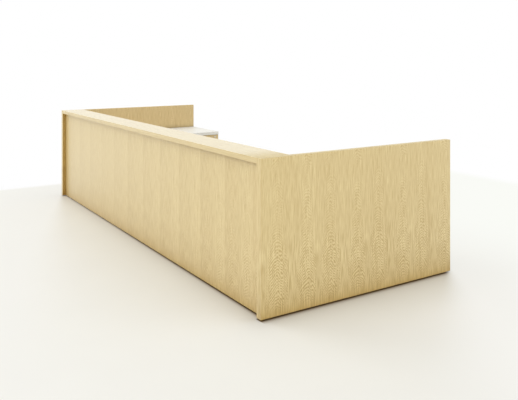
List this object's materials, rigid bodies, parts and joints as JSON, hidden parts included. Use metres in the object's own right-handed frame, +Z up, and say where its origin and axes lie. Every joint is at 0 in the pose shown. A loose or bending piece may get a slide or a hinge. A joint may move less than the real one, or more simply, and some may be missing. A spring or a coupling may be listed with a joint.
{
  "type": "reception desk",
  "caption": "Long double reception desk with a recessed veneered front, flush transaction ledge, full-depth end panels, pale worksurfaces and drawer pedestals.",
  "frame": {"origin": "on the floor under the centre of the whole desk", "axes": "+X along the desk to a visitor's right, -Y faces the visitor, +Y faces the staff, +Z up"},
  "size_m": [4.572, 1.829, 1.067],
  "materials": {
    "veneer": "satin lacquered pale plain-sliced veneer",
    "laminate": "matte pale laminate",
    "black_steel": "fine-textured black powder coat",
    "drawer_steel": "light grey powder coat",
    "nickel": "satin nickel",
    "zinc": "bright zinc",
    "black_plastic": "fine matte",
    "beech": "bare"
  },
  "bodies": {
    "desk": {"end_panel_left": "veneer", "transaction_top_left": "veneer", "worksurface_front_left": "laminate", "worksurface_return_left": "laminate", "cable_tray_left": "black_steel", "pedestal_left_side_front": "veneer", "pedestal_left_side_rear": "veneer", "pedestal_left_bottom": "veneer", "pedestal_left_back": "veneer", "pedestal_left_channels": "zinc", "end_panel_right": "veneer", "transaction_top_right": "veneer", "worksurface_front_right": "laminate", "worksurface_return_right": "laminate", "cable_tray_right": "black_steel", "pedestal_right_side_front": "veneer", "pedestal_right_side_rear": "veneer", "pedestal_right_bottom": "veneer", "pedestal_right_back": "veneer", "pedestal_right_channels": "zinc", "front_panel_1": "veneer", "front_panel_2": "veneer", "front_panel_3": "veneer", "front_panel_4": "veneer", "centre_gable": "veneer", "cantilevers": "black_steel", "ledge_brackets": "black_steel", "worksurface_rails": "black_steel", "grommet_liners": "black_plastic", "lock_strikes": "zinc", "levelling_glides": "black_plastic", "panel_dowels": "beech", "cam_fittings": "zinc", "draw_bolts": "zinc", "bracket_screws": "zinc"},
    "upper_drawer_left": {"upper_drawer_front_left": "veneer", "upper_drawer_body_left": "drawer_steel", "upper_drawer_pull_left": "nickel"},
    "middle_drawer_left": {"middle_drawer_front_left": "veneer", "middle_drawer_body_left": "drawer_steel", "middle_drawer_pull_left": "nickel"},
    "file_drawer_left": {"file_drawer_front_left": "veneer", "file_drawer_body_left": "drawer_steel", "file_drawer_pull_left": "nickel"},
    "file_slide_left": {"file_slide_left": "zinc"},
    "lock_left": {"lock_plug_left": "nickel"},
    "grommet_cap_body_left": {"grommet_cap_left": "black_plastic"},
    "upper_drawer_right": {"upper_drawer_front_right": "veneer", "upper_drawer_body_right": "drawer_steel", "upper_drawer_pull_right": "nickel"},
    "middle_drawer_right": {"middle_drawer_front_right": "veneer", "middle_drawer_body_right": "drawer_steel", "middle_drawer_pull_right": "nickel"},
    "file_drawer_right": {"file_drawer_front_right": "veneer", "file_drawer_body_right": "drawer_steel", "file_drawer_pull_right": "nickel"},
    "file_slide_right": {"file_slide_right": "zinc"},
    "lock_right": {"lock_plug_right": "nickel"},
    "grommet_cap_body_right": {"grommet_cap_right": "black_plastic"}
  },
  "joints": [
    {"name": "upper_drawer_left_travel", "type": "slide", "parent": "desk", "child": "upper_drawer_left", "axis": [1, 0, 0], "range_m": [0, 0.38]},
    {"name": "middle_drawer_left_travel", "type": "slide", "parent": "desk", "child": "middle_drawer_left", "axis": [1, 0, 0], "range_m": [0, 0.38]},
    {"name": "file_drawer_left_travel", "type": "slide", "parent": "desk", "child": "file_drawer_left", "axis": [1, 0, 0], "range_m": [0, 0.48]},
    {"name": "file_slide_left_travel", "type": "slide", "parent": "desk", "child": "file_slide_left", "axis": [1, 0, 0], "range_m": [0, 0.24]},
    {"name": "lock_left_turn", "type": "hinge", "parent": "upper_drawer_left", "child": "lock_left", "pos_m": [-1.529, 0.8645, 0.696], "axis": [-1, 0, 0], "range_deg": [0, 90]},
    {"name": "grommet_cap_left_turn", "type": "hinge", "parent": "desk", "child": "grommet_cap_body_left", "pos_m": [-1.39625, -0.7265, 0.762], "axis": [0, 0, 1], "continuous": true},
    {"name": "upper_drawer_right_travel", "type": "slide", "parent": "desk", "child": "upper_drawer_right", "axis": [-1, 0, 0], "range_m": [0, 0.38]},
    {"name": "middle_drawer_right_travel", "type": "slide", "parent": "desk", "child": "middle_drawer_right", "axis": [-1, 0, 0], "range_m": [0, 0.38]},
    {"name": "file_drawer_right_travel", "type": "slide", "parent": "desk", "child": "file_drawer_right", "axis": [-1, 0, 0], "range_m": [0, 0.48]},
    {"name": "file_slide_right_travel", "type": "slide", "parent": "desk", "child": "file_slide_right", "axis": [-1, 0, 0], "range_m": [0, 0.24]},
    {"name": "lock_right_turn", "type": "hinge", "parent": "upper_drawer_right", "child": "lock_right", "pos_m": [1.529, 0.8645, 0.696], "axis": [-1, 0, 0], "range_deg": [0, 90]},
    {"name": "grommet_cap_right_turn", "type": "hinge", "parent": "desk", "child": "grommet_cap_body_right", "pos_m": [1.39625, -0.7265, 0.762], "axis": [0, 0, 1], "continuous": true}
  ],
  "couplings": [
    {"joint": "file_slide_left_travel", "follows": "file_drawer_left_travel", "ratio": 0.5},
    {"joint": "file_slide_right_travel", "follows": "file_drawer_right_travel", "ratio": 0.5}
  ]
}
